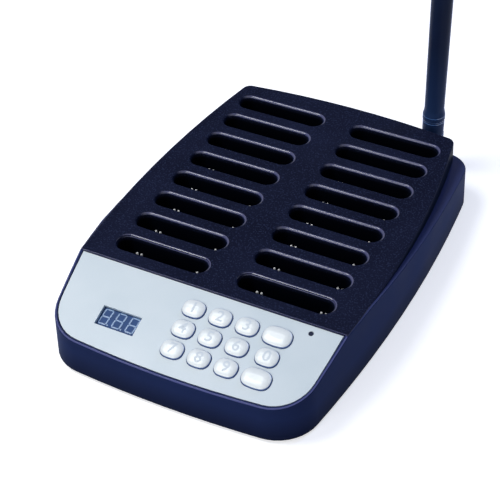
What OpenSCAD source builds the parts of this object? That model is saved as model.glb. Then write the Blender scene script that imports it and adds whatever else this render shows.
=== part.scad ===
// Charging base of a guest pager system: a low case with a bulged outline, a sloping
// keypad panel at the front, sixteen charging slots behind it and a folding aerial.
// X runs to the right, Y to the rear, Z up. Lengths are millimetres.
// Working Y is measured from the line where the panel meets the slot block.

/* [Case] */
// Width of the case where it bulges most, at its foot
case_w = 157.6; // [150:0.2:170]
// Radius of the long bulge of each side
case_side_r = 770; // [600:10:1200]
// Distance of the widest point behind the panel line
case_wide_y = 80; // [60:1:100]
// Reach of the case in front of the panel line
case_front = 48.8; // [46:0.2:56]
// Radius of the front bulge
case_front_r = 650; // [400:10:1200]
// Reach of the case behind the panel line
case_rear = 175.5; // [172:0.5:190]
// Radius of the rear bulge
case_rear_r = 520; // [400:10:1200]
// Radius of the front corners
front_corner_r = 22.5; // [14:0.5:24]
// Radius of the rear corners
rear_corner_r = 16.5; // [12:0.5:22]
// Thickness of the case wall
case_wall = 2.4; // [1.6:0.1:3.2]
// Lean of the case wall, foot to rim
wall_lean = 0.6; // [0:0.1:1.5]
// Rounding of the case rim
rim_round = 0.9; // [0.6:0.1:2]
// Height of the foot of the case above the table
foot_gap = 1.2; // [0.6:0.1:3]
// Height of the case rim beside the panel line
rim_z = 36.6; // [34:0.1:44]
// Distance behind the panel line where the rim starts to fall
fall_y = 25; // [10:1:50]
// Fall of the rim towards the rear, in millimetres for each millimetre
rim_fall = 0.089; // [0.03:0.001:0.1]

/* [Slot block] */
// Width of the slot block where it bulges most
block_w = 151.4; // [146:0.2:156]
// Radius of the long bulge of each side of the block
block_side_r = 600; // [500:10:900]
// Distance of the block's widest point behind the panel line
block_wide_y = 48; // [30:1:60]
// Reach of the block behind the panel line
block_rear = 171.2; // [168:0.2:172]
// Radius of the block's rear bulge
block_rear_r = 460; // [350:10:800]
// Radius of the block's rear corners
block_corner_r = 4.8; // [3.2:0.1:6]
// Radius of the front bulge of the lip round the panel
lip_front_r = 640; // [400:10:1200]
// Height of the block's top above the case rim at the panel line
deck_step = 0.4; // [0.2:0.1:1.5]
// Thickness of the block's deck
deck_t = 2.4; // [1.6:0.1:3]
// Thickness of the block's skirt
skirt_t = 2.2; // [1.6:0.1:2.6]
// Rounding of the block's top edge
deck_round = 0.7; // [0.3:0.1:1.2]

/* [Pager slots] */
// Slots in each column
slot_rows = 8; // [4:1:8]
// Distance from one slot to the next
slot_pitch = 19.5; // [18:0.1:19.8]
// Distance between the two columns of slots
column_gap = 68.7; // [66:0.1:70]
// Distance of the first slot behind the panel line
first_slot_y = 14.5; // [14:0.1:16]
// Length of a slot
slot_l = 51.6; // [46:0.1:53]
// Width of a slot
slot_w = 11.3; // [8:0.1:12]
// Depth of a slot below the deck
slot_depth = 14; // [11:0.5:16]
// Rounding of a slot's mouth
mouth_round = 1.1; // [0.4:0.1:1.3]
// Thickness of the wall round a slot
pocket_wall = 1.5; // [1:0.1:2]
// Distance from the slot's middle to each pair of charging pins
pin_pair_x = 17.5; // [12:0.1:19]
// Distance of the pins to the right of the slot's middle, so that a pager fits one way round only
pin_shift = 1.3; // [0:0.1:1.5]
// Distance between the two pins of a pair
pin_gap = 2.5; // [2.2:0.1:4]
// Diameter of a charging pin
pin_d = 1.3; // [0.8:0.1:1.6]
// Height of a charging pin above the floor of its slot
pin_h = 5.2; // [2:0.1:6]
// Distance of the pins behind the middle of the slot
pin_back = 4.2; // [2:0.1:4.4]

/* [Panel] */
// Slope of the panel
slope = 18; // [12:0.5:22]
// Thickness of the panel
panel_t = 1.6; // [1.2:0.1:2]
// Height of the rim's lip above the panel
lip_h = 0.4; // [0:0.1:0.8]
// Width of the lip between the panel's gap and the rim's outer line
lip_w = 2; // [1.8:0.1:3]
// Gap all round the panel
panel_gap = 0.35; // [0.15:0.05:0.6]
// Width of the seat under the panel's edge
seat_w = 3; // [2:0.1:4]
// Thickness of the seat under the panel's edge
seat_t = 1.8; // [1.2:0.1:2.4]

/* [Keys] */
// Width of a key
key_w = 11.8; // [10:0.1:12.5]
// Length of a key down the slope
key_l = 9.6; // [8:0.1:10]
// Width of the two large keys
wide_key_w = 15; // [13:0.1:16]
// Length of the two large keys
wide_key_l = 10.5; // [9:0.1:10.8]
// Distance between the key columns
key_pitch_x = 14.46; // [14:0.02:15]
// Distance between the key rows
key_pitch_y = 11.85; // [11.7:0.05:12.5]
// Distance of the column with the large keys from the right side of the slot block
wide_key_inset = 33.2; // [32:0.1:34]
// Distance between the large keys and the last column of small keys
wide_key_pitch = 16; // [15.6:0.1:18]
// Distance of the first key row down the slope
key_y0 = 11.46; // [10:0.1:12.5]
// Height of a key above the panel
key_h = 2; // [1:0.1:3]
// Gap round a key in the panel
key_gap = 0.25; // [0.15:0.05:0.4]
// Travel of a key
key_travel = 1.2; // [0.6:0.1:1.5]

/* [Display] */
// Width of the display window
window_w = 21.5; // [20:0.1:22]
// Length of the display window down the slope
window_l = 10.8; // [10:0.1:12.5]
// Distance of the middle of the window from the left side of the slot block
window_inset = 40.3; // [36:0.1:42]
// Distance of the middle of the window down the slope
window_y = 29.9; // [24:0.1:32]
// Distance of the figures to the left of the window's middle
figure_shift = 0.2; // [0:0.05:0.5]
// Length of a figure, between the middles of its bars
figure_l = 8.2; // [7:0.1:9]
// Width of a figure, between the middles of its bars
figure_w = 4.2; // [3.6:0.1:4.6]
// Lean of the figures
figure_lean = 5; // [0:0.5:10]
// Width of one digit's place in the display module
digit_pitch = 7.5; // [7:0.1:8]
// Number of digits
digits = 3; // [2:1:3]
// Length of the display module down the slope
module_l = 14; // [12:0.1:14.6]
// Depth of the display face below the panel's top
face_depth = 2; // [1.8:0.1:2.6]
// Diameter of the indicator lamp
lamp_d = 2.4; // [1.8:0.1:3]
// Distance of the indicator lamp from the right side of the slot block
lamp_inset = 19; // [17:0.1:24]
// Distance of the indicator lamp down the slope
lamp_y = 4.1; // [3.8:0.1:8]

/* [Aerial] */
// Sideways place of the aerial
aerial_x = 44.6; // [30:0.2:50]
// Distance of the upright aerial behind the panel line
aerial_y = 185; // [184:0.5:190]
// Height of the aerial's fold pin
fold_z = 16.5; // [15:0.1:17]
// Height of the aerial's tip
aerial_top = 205; // [120:1:260]
// Diameter of the aerial's collar
collar_d = 12.6; // [11:0.1:13]
// Diameter of the aerial's whip at its foot
whip_d = 11.1; // [9:0.1:12]

/* [Inside] */
// Thickness of the base plate
plate_t = 2.2; // [1.6:0.1:3]
// Thickness of a circuit board
board_t = 1.6; // [1:0.1:2]
// Width of the main board
main_board_w = 92; // [80:1:100]
// Length of the main board
main_board_l = 46; // [40:1:50]
// Width of the radio module
radio_w = 26; // [18:0.5:30]
// Length of the radio module
radio_l = 17; // [12:0.5:18]
// Width of the power board
power_board_w = 24; // [22:0.5:30]
// Diameter of the buzzer
buzzer_d = 12; // [9:0.5:14]
// Diameter of a rubber foot
foot_d = 12; // [8:0.5:14]
// Diameter of a screw's shank
screw_d = 2.9; // [2.4:0.1:3]
// Bore of the power inlet
inlet_d = 5.7; // [5.6:0.1:6.4]
// Sideways place of the power inlet
inlet_x = -38; // [-50:1:20]

/* [Hidden] */

$fn = 48;
eps = 0.01;
// Running clearance of a pin in its hole, and of flat pieces side by side
fit = 0.06;
air = 0.3;

// The working frame is moved so that the middle of the whole part's box is the origin.
y_mid = (aerial_y + collar_d / 2 - case_front) / 2;
panel_z = rim_z - lip_h;
deck_z = rim_z + deck_step;
rise = tan(slope);
// Level of the boards and of the base plate
plate_top = foot_gap + plate_t;
pocket_floor_z = deck_z - slot_depth;
charge_top = pocket_floor_z - pocket_wall;
charge_z = charge_top - board_t;
// Depths below the panel's top, square to the panel
key_board_depth = 8.4;
window_x = window_inset - block_w / 2;
lamp_x = block_w / 2 - lamp_inset;
wide_key_x = block_w / 2 - wide_key_inset;
key_x0 = wide_key_x - wide_key_pitch - 2 * key_pitch_x;
mat_t = 1;
mat_dome_h = 1;
flange_t = 0.9;
flange_w = 0.8;
flange_top = -panel_t - 0.15;

column_x = column_gap / 2;
slot_y = [for (i = [0:slot_rows - 1]) first_slot_y + i * slot_pitch];
last_slot_y = slot_y[slot_rows - 1];
column_list = [-column_x, column_x];
// Screw posts stand between the ends of neighbouring slots
post_x = column_x + slot_l / 2 - 1.6;
post_rows = [0, floor(slot_rows / 2) - 1, slot_rows - 2];
post_y = [for (i = post_rows) first_slot_y + (i + 0.5) * slot_pitch];
post_r = 3.1;
front_post = [case_w / 2 - 14.8, -0.41 * case_front];
front_post_top = 25;
pilot_r = screw_d / 2 + fit;
hole_r = screw_d / 2 + 0.25;
head_r = screw_d;
head_t = 2;

// A bulged outline is a list: half width, place of the widest point, side radius,
// front reach, front radius, front corner, rear reach, rear radius, rear corner.
case_line = [case_w / 2, case_wide_y, case_side_r, -case_front, case_front_r, front_corner_r,
             case_rear, case_rear_r, rear_corner_r];
lip_front = case_front - 0.7;
block_line = [block_w / 2, block_wide_y, block_side_r, -lip_front, lip_front_r, front_corner_r - 0.4,
              block_rear, block_rear_r, block_corner_r];
least_corner = 0.3;

// The same outline moved inwards by d; its corners never vanish
function inset(o, d) = [o[0] - d, o[1], o[2] - d, o[3] + d, o[4] - d, max(o[5] - d, least_corner),
                        o[6] - d, o[7] - d, max(o[8] - d, least_corner)];

// Where circles of radius ra about a and rb about b meet, on side s of the line a-b
function meet(a, ra, b, rb, s) =
    let (v = b - a, d = norm(v), u = v / d, k = (ra * ra - rb * rb + d * d) / (2 * d),
         h = sqrt(ra * ra - k * k))
    a + k * u + s * h * [-u[1], u[0]];

function bearing(v) = atan2(v[1], v[0]);
function arc(c, r, a0, a1, n) = [for (i = [0:n]) let (a = a0 + (a1 - a0) * i / n) c + r * [cos(a), sin(a)]];

// Places along a side where every outline has a point, so that surfaces between them stay flat
side_steps = 7;
side_y = concat([-0.3 * case_front, 0, fall_y / 2],
                [for (i = [0:side_steps]) fall_y + i * (0.83 * case_rear - fall_y) / side_steps]);
corner_steps = 9;
end_steps = 4;

// Right half of an outline, from the middle of the front to the middle of the rear
function half_line(o) =
    let (side = [o[0] - o[2], o[1]], front = [0, o[3] + o[4]], rear = [0, o[6] - o[7]],
         cf = meet(side, o[2] - o[5], front, o[4] - o[5], -1),
         cr = meet(side, o[2] - o[8], rear, o[7] - o[8], 1),
         front_end = bearing(cf - front), rear_end = bearing(cr - rear))
    concat(
        [for (i = [0:end_steps - 1]) let (a = -90 + (front_end + 90) * i / end_steps)
            front + o[4] * [cos(a), sin(a)]],
        arc(cf, o[5], front_end, bearing(cf - side), corner_steps),
        [for (y = side_y) [side[0] + sqrt(o[2] * o[2] - (y - o[1]) * (y - o[1])), y]],
        arc(cr, o[8], bearing(cr - side), rear_end, corner_steps),
        [for (i = [1:end_steps]) let (a = rear_end + (90 - rear_end) * i / end_steps)
            rear + o[7] * [cos(a), sin(a)]]);

// Whole outline, anticlockwise from the middle of the front
function outline(o) =
    let (h = half_line(o), n = len(h))
    concat(h, [for (i = [n - 2:-1:1]) [-h[i][0], h[i][1]]]);

// Height of the rim and of the panel's seat at a distance y behind the panel line
function rim_at(y) = y < 0 ? rim_z + y * rise : rim_z - max(0, y - fall_y) * rim_fall;
seat_drop = lip_h + panel_t / cos(slope);
// The seat grows thinner towards the rear, where the connectors stand close under it
seat_taper = 0.6;
function taper_at(y) = 1 - seat_taper * max(0, y - fall_y) / (case_rear - fall_y);
// Depth of the slot block's lip in the case's opening, clear of the seat where that is highest
find_h = 0.7 * seat_drop * (1 - seat_taper);

// Rings of points, one above or inside the next, joined into a solid. A closed one is a frame.
module loft(rings, closed = false) {
    n = len(rings[0]);
    m = len(rings);
    quads = [for (k = [0:closed ? m - 1 : m - 2], i = [0:n - 1])
        let (a = k * n + i, b = k * n + (i + 1) % n, c = ((k + 1) % m) * n + i,
             d = ((k + 1) % m) * n + (i + 1) % n)
        [[a, c, d], [a, d, b]]];
    sides = [for (q = quads, t = q) t];
    ends = closed ? [] : [[for (i = [0:n - 1]) i], [for (i = [n - 1:-1:0]) (m - 1) * n + i]];
    polyhedron(points = [for (r = rings, p = r) p], faces = concat(sides, ends));
}

function flat_ring(o, z) = [for (p = outline(o)) [p[0], p[1], z]];
function rim_ring(o, drop) = [for (p = outline(o)) [p[0], p[1], rim_at(p[1]) - drop]];
function seat_ring(o, drop) = [for (p = outline(o)) [p[0], p[1], rim_at(p[1]) - drop * taper_at(p[1])]];

module at_home() { translate([0, -y_mid, 0]) children(); }
// Frame of the panel: Z square to it, Y up the slope, zero on its top at the panel line
module on_panel() { at_home() translate([0, 0, panel_z]) rotate([slope, 0, 0]) children(); }

module stadium(l, w) {
    square([l - w, w], center = true);
    for (s = [-1, 1]) translate([s * (l - w) / 2, 0]) circle(d = w);
}

module at_slots() {
    for (x = column_list, y = slot_y) translate([x, y, 0]) children();
}

module at_posts() {
    for (s = [-1, 1], y = post_y) translate([s * post_x, y, 0]) children();
}

module at_front_posts() {
    for (s = [-1, 1]) translate([s * front_post[0], front_post[1], 0]) children();
}

// ---- case -------------------------------------------------------------------------------

opening_line = inset(block_line, lip_w - panel_gap);
seat_line = inset(opening_line, seat_w);

module top_case() {
    color([0.12, 0.15, 0.25])
    at_home() difference() {
        union() {
            loft([
                flat_ring(inset(case_line, 0.6), foot_gap),
                flat_ring(case_line, foot_gap + 0.6),
                rim_ring(inset(case_line, wall_lean), rim_round),
                rim_ring(inset(case_line, wall_lean + 0.3 * rim_round), 0.3 * rim_round),
                rim_ring(inset(case_line, wall_lean + rim_round), 0),
                rim_ring(opening_line, 0),
                seat_ring(opening_line, seat_drop),
                seat_ring(seat_line, seat_drop),
                seat_ring(seat_line, seat_drop + seat_t),
                seat_ring(inset(case_line, case_wall + wall_lean), seat_drop + seat_t + 1.2),
                flat_ring(inset(case_line, case_wall), foot_gap)
            ], closed = true);
            at_front_posts() {
                translate([0, 0, plate_top + 0.05]) cylinder(r = post_r, h = front_post_top - plate_top);
            }
            for (s = [-1, 1]) translate([s * front_post[0], front_post[1], 0])
                translate([s > 0 ? 1 : -6.6, -0.9, plate_top + 2]) cube([5.6, 1.8, front_post_top - plate_top - 4]);
        }
        at_front_posts() translate([0, 0, plate_top - 1]) cylinder(r = pilot_r, h = 15);
        translate([aerial_x, case_rear, fold_z]) rotate([90, 0, 0])
            translate([0, 0, -5]) cylinder(r = socket_r + fit, h = 15);
        translate([inlet_x, case_rear, inlet_z]) rotate([90, 0, 0])
            translate([0, 0, -5]) cylinder(r = inlet_nose_r + 0.15, h = 15);
    }
}

module bottom_plate() {
    line = inset(case_line, case_wall + 0.15);
    post_h = charge_z - plate_top;
    color([0.09, 0.1, 0.16])
    at_home() difference() {
        union() {
            translate([0, 0, foot_gap]) linear_extrude(plate_t) polygon(outline(line));
            at_posts() translate([0, 0, plate_top - eps]) cylinder(r = post_r, h = post_h + eps);
            for (p = board_posts) translate([p[0], p[1], plate_top - eps]) cylinder(r = 2.6, h = board_lift + eps);
            for (p = power_posts) translate([p[0], p[1], plate_top - eps]) cylinder(r = 2.2, h = power_lift + eps);
        }
        at_posts() {
            translate([0, 0, foot_gap - 1]) cylinder(r = hole_r, h = charge_z + 2);
            translate([0, 0, foot_gap - 1]) cylinder(r = head_r + 0.3, h = 1 + head_t);
        }
        at_front_posts() {
            translate([0, 0, foot_gap - 1]) cylinder(r = hole_r, h = 5);
            translate([0, 0, foot_gap - 1]) cylinder(r = head_r + 0.3, h = 1 + plate_head_t);
        }
        for (p = board_posts) translate([p[0], p[1], foot_gap + 1]) cylinder(r = board_pilot_r, h = 12);
        at_feet() translate([0, 0, foot_gap - 1]) cylinder(d = foot_d + 0.3, h = 1 + foot_recess);
        // Air slots under the charging board
        for (s = [-1, 1], i = [0:6]) translate([s * 26, vent_y + i * 6, foot_gap - 1])
            linear_extrude(plate_t + 2) stadium(30, 2);
    }
}

foot_recess = 0.8;
vent_y = 96;

module at_feet() {
    for (s = [-1, 1], y = [-0.66 * case_front, 0.87 * case_rear])
        translate([s * 0.73 * case_w / 2, y, 0]) children();
}

module rubber_feet() {
    color([0.06, 0.06, 0.07])
    at_home() at_feet() cylinder(d = foot_d, h = foot_gap + foot_recess);
}

plate_head_t = 1.1;

module case_screw(l, t) {
    cylinder(r = head_r, h = t);
    translate([0, 0, t - eps]) cylinder(r = screw_d / 2, h = l - t + eps);
}

module case_screws() {
    color([0.6, 0.6, 0.62])
    at_home() {
        at_posts() translate([0, 0, foot_gap]) case_screw(charge_top + 5 - foot_gap, head_t);
        at_front_posts() translate([0, 0, foot_gap]) case_screw(13, plate_head_t);
    }
}

// ---- slot block -------------------------------------------------------------------------

// Everything above the falling rim and behind the panel line
module above_rim() {
    far = case_rear + 20;
    rotate([90, 0, 90]) translate([0, 0, -case_w / 2 - 5]) linear_extrude(case_w + 10)
        polygon([[panel_gap, rim_z], [fall_y, rim_z], [far, rim_at(far)], [far, deck_z + 5], [panel_gap, deck_z + 5]]);
}

// The block's outline moved in by d, cut off at the panel line
module behind_line(d, h) {
    linear_extrude(h) intersection() {
        polygon(outline(inset(block_line, d)));
        translate([-case_w / 2, panel_gap]) square([case_w, case_rear]);
    }
}

// Rounded mouth of a slot: a bell whose foot is the slot's own outline
module slot_mouth() {
    r = slot_w / 2;
    steps = 4;
    bell = [for (i = [0:steps]) let (a = 90 * i / steps) [r + mouth_round * (1 - cos(a)), mouth_round * (sin(a) - 1)]];
    section = concat([[0, -mouth_round]], bell, [[r + mouth_round, 1], [0, 1]]);
    straight = slot_l - slot_w;
    for (s = [-1, 1]) translate([s * straight / 2, 0, 0]) rotate_extrude() polygon(section);
    for (s = [0, 1]) mirror([0, s, 0]) translate([-straight / 2, 0, 0]) rotate([90, 0, 90])
        linear_extrude(straight) polygon(section);
}

module slot_block() {
    cup_h = deck_z - 1 - charge_top;
    color([0.09, 0.1, 0.15])
    at_home() difference() {
        union() {
            // Cap whose skirt stands on the case rim
            difference() {
                intersection() {
                    loft([
                        flat_ring(inset(block_line, -0.5), pocket_floor_z - 8),
                        flat_ring(block_line, deck_z - deck_round),
                        flat_ring(inset(block_line, 0.3 * deck_round), deck_z - 0.3 * deck_round),
                        flat_ring(inset(block_line, deck_round), deck_z)
                    ]);
                    above_rim();
                }
                translate([0, 0, pocket_floor_z - 9]) behind_line(skirt_t, deck_z - deck_t - pocket_floor_z + 9);
            }
            // Deck inside the opening of the case
            translate([0, 0, deck_z - deck_t]) behind_line(lip_w - panel_gap + air, deck_t - deck_round);
            // Lip under the skirt that finds the opening
            intersection() {
                difference() {
                    translate([0, 0, charge_top]) behind_line(lip_w - panel_gap + air, deck_z - deck_t - charge_top);
                    translate([0, 0, charge_top - 1]) behind_line(lip_w - panel_gap + air + 1.4, cup_h + 4);
                }
                translate([0, 0, -find_h]) above_rim();
            }
            // Cups that the pagers stand in
            at_slots() translate([0, 0, charge_top])
                linear_extrude(cup_h) stadium(slot_l + 2 * pocket_wall, slot_w + 2 * pocket_wall);
            // Screw bosses that clamp the charging board
            at_posts() translate([0, 0, charge_top]) cylinder(r = post_r, h = cup_h);
            // Ribs that tie the cups together
            translate([-0.8, skirt_t, charge_top + 4]) cube([1.6, block_rear - 2 * skirt_t - 2, cup_h - 4]);
            for (s = [-1, 1]) translate([s * column_x - 0.8, first_slot_y, charge_top + 4])
                cube([1.6, last_slot_y - first_slot_y, cup_h - 4]);
            // Ledge that carries the panel's rear edge, and the wall behind it
            panel_ledge();
        }
        at_slots() {
            translate([0, 0, pocket_floor_z]) linear_extrude(slot_depth + 1) stadium(slot_l, slot_w);
            translate([0, 0, deck_z]) slot_mouth();
            for (s = [-1, 1]) translate([s * pin_pair_x + pin_shift, pin_back - 0.35, charge_top - 1])
                linear_extrude(pocket_wall + 2) square([pin_gap + pin_d + 1.2, pin_d + 0.5], center = true);
        }
        at_posts() translate([0, 0, charge_top - 1]) cylinder(r = pilot_r, h = 8.5);
    }
}

module panel_ledge() {
    w = 2 * (lamp_x - lamp_d / 2 - 1.6);
    under = panel_z - panel_t / cos(slope);
    low = under - 4.5;
    rotate([90, 0, 90]) translate([0, 0, -w / 2]) linear_extrude(w)
        polygon([[-3.4, under - 3.4 * rise], [panel_gap, under], [panel_gap, deck_z - 1], [panel_gap + skirt_t, deck_z - 1],
                 [panel_gap + skirt_t, low], [panel_gap, low], [panel_gap, under - 3.5], [-3.4, under - 3.4 * rise - 2]]);
}

// ---- front panel ------------------------------------------------------------------------

hang_posts = [[window_x - 11.8, -10], [window_x + 20.2, -39], [lamp_x - 0.2, -14], [wide_key_x + 11.5, -37]];
hang_r = 2.4;

// The panel's outline as it lies on the slope
function sloped(pts) = [for (p = pts) if (p[1] < -eps) [p[0], p[1] / cos(slope)]];
panel_line = inset(block_line, lip_w);
panel_corner = [panel_line[0] - panel_line[2] + sqrt(pow(panel_line[2], 2) - pow(panel_line[1], 2)), 0];

module front_panel() {
    h = half_line(panel_line);
    right = sloped(h);
    n = len(right);
    line = concat(right, [panel_corner, [-panel_corner[0], 0]], [for (i = [n - 1:-1:1]) [-right[i][0], right[i][1]]]);
    color([0.8, 0.85, 0.9])
    on_panel() difference() {
        union() {
            translate([0, 0, -panel_t]) linear_extrude(panel_t) polygon(line);
            for (p = hang_posts) translate([p[0], p[1], -key_board_depth]) cylinder(r = hang_r, h = key_board_depth - panel_t + eps);
        }
        for (k = keys) translate([k[1], k[2], -panel_t - 1]) linear_extrude(panel_t + 2)
            key_shape(k[3] + 2 * key_gap, k[4] + 2 * key_gap);
        translate([window_x, -window_y, 0]) cube([window_w, window_l, 6 * panel_t], center = true);
        translate([lamp_x, -lamp_y, -panel_t - 1]) cylinder(d = lamp_d + 0.2, h = panel_t + 2);
        for (p = hang_posts) translate([p[0], p[1], -key_board_depth - 1]) cylinder(r = board_pilot_r, h = 6);
        // Upright rear edge, beside the slot block
        rotate([-slope, 0, 0]) translate([-case_w / 2, 0, -4]) cube([case_w, 4, 8]);
    }
}

// ---- keys -------------------------------------------------------------------------------

function key_col(i) = key_x0 + i * key_pitch_x;
function key_row(j) = -key_y0 - j * key_pitch_y;
// Name, place, width and length of each key
keys = concat(
    [for (j = [0:2], i = [0:2]) [str("key_", 3 * j + i + 1), key_col(i), key_row(j), key_w, key_l]],
    [["key_call", wide_key_x, key_row(0), wide_key_w, wide_key_l],
     ["key_0", wide_key_x, key_row(1), key_w, key_l],
     ["key_clear", wide_key_x, key_row(2), wide_key_w, wide_key_l]]);

// A key's outline: four shallow arcs joined by round corners
function key_line(w, l) = [w / 2, 0, 1.6 * l, -l / 2, 1.6 * w, 0.42 * l, l / 2, 1.6 * w, 0.42 * l];

key_corner_steps = 5;
function key_half(o) =
    let (side = [o[0] - o[2], 0], front = [0, o[3] + o[4]],
         c = meet(side, o[2] - o[5], front, o[4] - o[5], -1),
         quarter = concat([front - [0, o[4]]], arc(c, o[5], bearing(c - front), bearing(c - side), key_corner_steps),
                          [[o[0], 0]]))
    quarter;
function key_outline(o) =
    let (q = key_half(o), n = len(q))
    concat(q, [for (i = [n - 2:-1:0]) [q[i][0], -q[i][1]]], [for (i = [1:n - 1]) [-q[i][0], -q[i][1]]],
           [for (i = [n - 2:-1:1]) [-q[i][0], q[i][1]]]);
function key_ring(w, l, d, z) = [for (p = key_outline(inset(key_line(w, l), d))) [p[0], p[1], z]];

module key_shape(w, l) { polygon(key_outline(key_line(w, l))); }

module key(name) {
    k = [for (q = keys) if (q[0] == name) q][0];
    w = k[3];
    l = k[4];
    crown = key_h - key_edge_h;
    color([0.9, 0.92, 0.95])
    on_panel() translate([k[1], k[2], 0]) difference() {
        union() {
            translate([0, 0, flange_top - flange_t]) linear_extrude(flange_t)
                key_shape(w + 2 * flange_w, l + 2 * flange_w);
            loft(concat([key_ring(w, l, 0, flange_top - eps)],
                        [for (t = key_dome) key_ring(w, l, t * l / 2, key_edge_h + crown * sqrt(t * (2 - t)))]));
        }
        // Hollow underside, with the stem left standing in it
        translate([0, 0, flange_top - flange_t - 1]) linear_extrude(flange_t - flange_top + 1 + 0.2) difference() {
            key_shape(w - 2 * key_wall, l - 2 * key_wall);
            circle(r = stem_r);
        }
    }
    color([0.9, 0.92, 0.95])
    on_panel() translate([k[1], k[2], stem_foot]) cylinder(r = stem_r, h = -stem_foot + 0.5);
}
key_wall = 1.1;
key_edge_h = 0.6;
// Places of the crown's rings, from the key's edge at 0 to its middle at 1
key_dome = [0, 0.06, 0.2, 0.42, 0.75];
stem_r = 1.6;
stem_foot = -key_board_depth + mat_t + mat_dome_h + key_travel + 0.05;

module keypad_mat() {
    color([0.75, 0.76, 0.78])
    on_panel() {
        x0 = key_x0 - key_w / 2 - 2;
        x1 = wide_key_x + wide_key_w / 2 + 1.2;
        y1 = -key_y0 + key_l / 2 + 1;
        y0 = key_row(2) - wide_key_l / 2 - 0.6;
        top = -key_board_depth + mat_t;
        difference() {
            union() {
                translate([x0, y0, -key_board_depth]) cube([x1 - x0, y1 - y0, mat_t]);
                for (k = keys) translate([k[1], k[2], top - eps]) cylinder(r1 = 2.4, r2 = 1.7, h = mat_dome_h + eps);
            }
            for (p = hang_posts) translate([p[0], p[1], -key_board_depth - 1]) cylinder(r = hang_r + 0.3, h = 4);
        }
    }
}

// ---- boards behind the panel ------------------------------------------------------------

module key_board() {
    x0 = window_x - 15.8;
    x1 = lamp_x + 2.8;
    y0 = key_row(2) - wide_key_l / 2 - 1.1;
    y1 = -lamp_y + lamp_d / 2 + 0.4;
    color([0.1, 0.35, 0.2])
    on_panel() difference() {
        translate([x0, y0, -key_board_depth - board_t]) cube([x1 - x0, y1 - y0, board_t]);
        for (p = hang_posts) translate([p[0], p[1], -key_board_depth - board_t - 1]) cylinder(r = board_hole_r, h = board_t + 2);
    }
}

module_w = digits * digit_pitch;

module display_module() {
    rim = 0.4;
    color([0.2, 0.3, 0.45])
    on_panel() translate([window_x - figure_shift, -window_y, -key_board_depth]) {
        translate([-module_w / 2, -module_l / 2, 0]) cube([module_w, module_l, key_board_depth - face_depth - rim]);
        translate([-module_w / 2 + rim, -module_l / 2 + rim, 0])
            cube([module_w - 2 * rim, module_l - 2 * rim, key_board_depth - face_depth]);
    }
}

bar_t = 0.12;
bar_w = 0.75;
bar_gap = 0.15;
point_d = 0.9;

// A point of a figure, leant with it
function lean(p) = [p[0] + p[1] * tan(figure_lean), p[1]];

// One bar of a figure, pointed at both ends, from a to b along X or Y
module bar(a, b) {
    u = (b - a) / norm(b - a);
    v = [-u[1], u[0]] * bar_w / 2;
    k = u * bar_w / 2;
    s = a + u * bar_gap / 2;
    e = b - u * bar_gap / 2;
    polygon([for (p = [s, s + k - v, e - k - v, e, e - k + v, s + k + v]) lean(p)]);
}

module figure_eight() {
    w = figure_w / 2;
    h = figure_l / 2;
    for (k = [-1, 0, 1]) bar([-w, k * h], [w, k * h]);
    for (s = [-1, 1], k = [-1, 0]) bar([s * w, k * h], [s * w, (k + 1) * h]);
    translate(lean([w + 1.1, -h])) circle(d = point_d);
}

module display_segments() {
    color([0.6, 0.7, 0.9])
    on_panel() translate([window_x - figure_shift, -window_y + 0.6, -face_depth]) linear_extrude(bar_t)
        for (i = [0:digits - 1]) translate([(i - (digits - 1) / 2) * digit_pitch, 0]) figure_eight();
}

module indicator_lens() {
    color([0.1, 0.1, 0.15])
    on_panel() translate([lamp_x, -lamp_y, 0]) {
        translate([0, 0, -key_board_depth]) cylinder(d = lamp_d - 0.4, h = key_board_depth - panel_t - 0.6);
        translate([0, 0, -panel_t - 1]) cylinder(d = lamp_d + 1.4, h = 0.85);
        translate([0, 0, -panel_t - 0.5]) cylinder(d = lamp_d, h = panel_t + 0.5);
    }
}

// Small screws, seen from their head, with the shank upwards
module small_screw(grip, bite) {
    translate([0, 0, -1.2]) cylinder(r = 2, h = 1.2);
    translate([0, 0, -eps]) cylinder(r = board_pilot_r - fit, h = grip + bite);
}
board_pilot_r = 1.1;
board_hole_r = 1.3;

module panel_screws() {
    color([0.6, 0.6, 0.62])
    on_panel() for (p = hang_posts) translate([p[0], p[1], -key_board_depth - board_t]) small_screw(board_t, 4.4);
}

// ---- boards in the case -----------------------------------------------------------------

board_lift = 3.2;
board_z = plate_top + board_lift;
board_x = main_board_w / 2;
board_y = [12 - main_board_l, 12];
board_posts = [for (s = [-1, 1], y = [board_y[0] + 4, board_y[1] - 4]) [s * (board_x - 4), y]];
board_top = board_z + board_t;

module main_board() {
    color([0.1, 0.35, 0.2])
    at_home() difference() {
        union() {
            translate([-board_x, board_y[0], board_z]) cube([2 * board_x, board_y[1] - board_y[0], board_t]);
            // Packages that are soldered to the board
            for (c = [[-20, -22, 10, 10, 1.2], [0, -24, 7, 5, 1.2], [-34, -20, 6, 9, 2], [28, -24, 12, 5, 2]])
                translate([c[0], c[1], board_top - eps]) cube([c[2], c[3], c[4] + eps]);
        }
        for (p = board_posts) translate([p[0], p[1], board_z - 1]) cylinder(r = board_hole_r, h = board_t + 2);
    }
}

module board_screws() {
    color([0.6, 0.6, 0.62])
    at_home() for (p = board_posts) translate([p[0], p[1], board_top]) mirror([0, 0, 1]) small_screw(board_t, 2.8);
}

module radio_module() {
    color([0.7, 0.71, 0.73])
    at_home() translate([8, -10, board_top]) {
        cube([radio_w, radio_l, 0.8]);
        translate([2, 2, 0.8]) cube([radio_w - 4, radio_l - 4, 2.4]);
    }
}

module buzzer() {
    color([0.08, 0.08, 0.09])
    at_home() translate([-22, 0, board_top]) difference() {
        cylinder(d = buzzer_d, h = 6.5);
        translate([0, 0, 5]) cylinder(d = 2, h = 2);
    }
}

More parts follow.
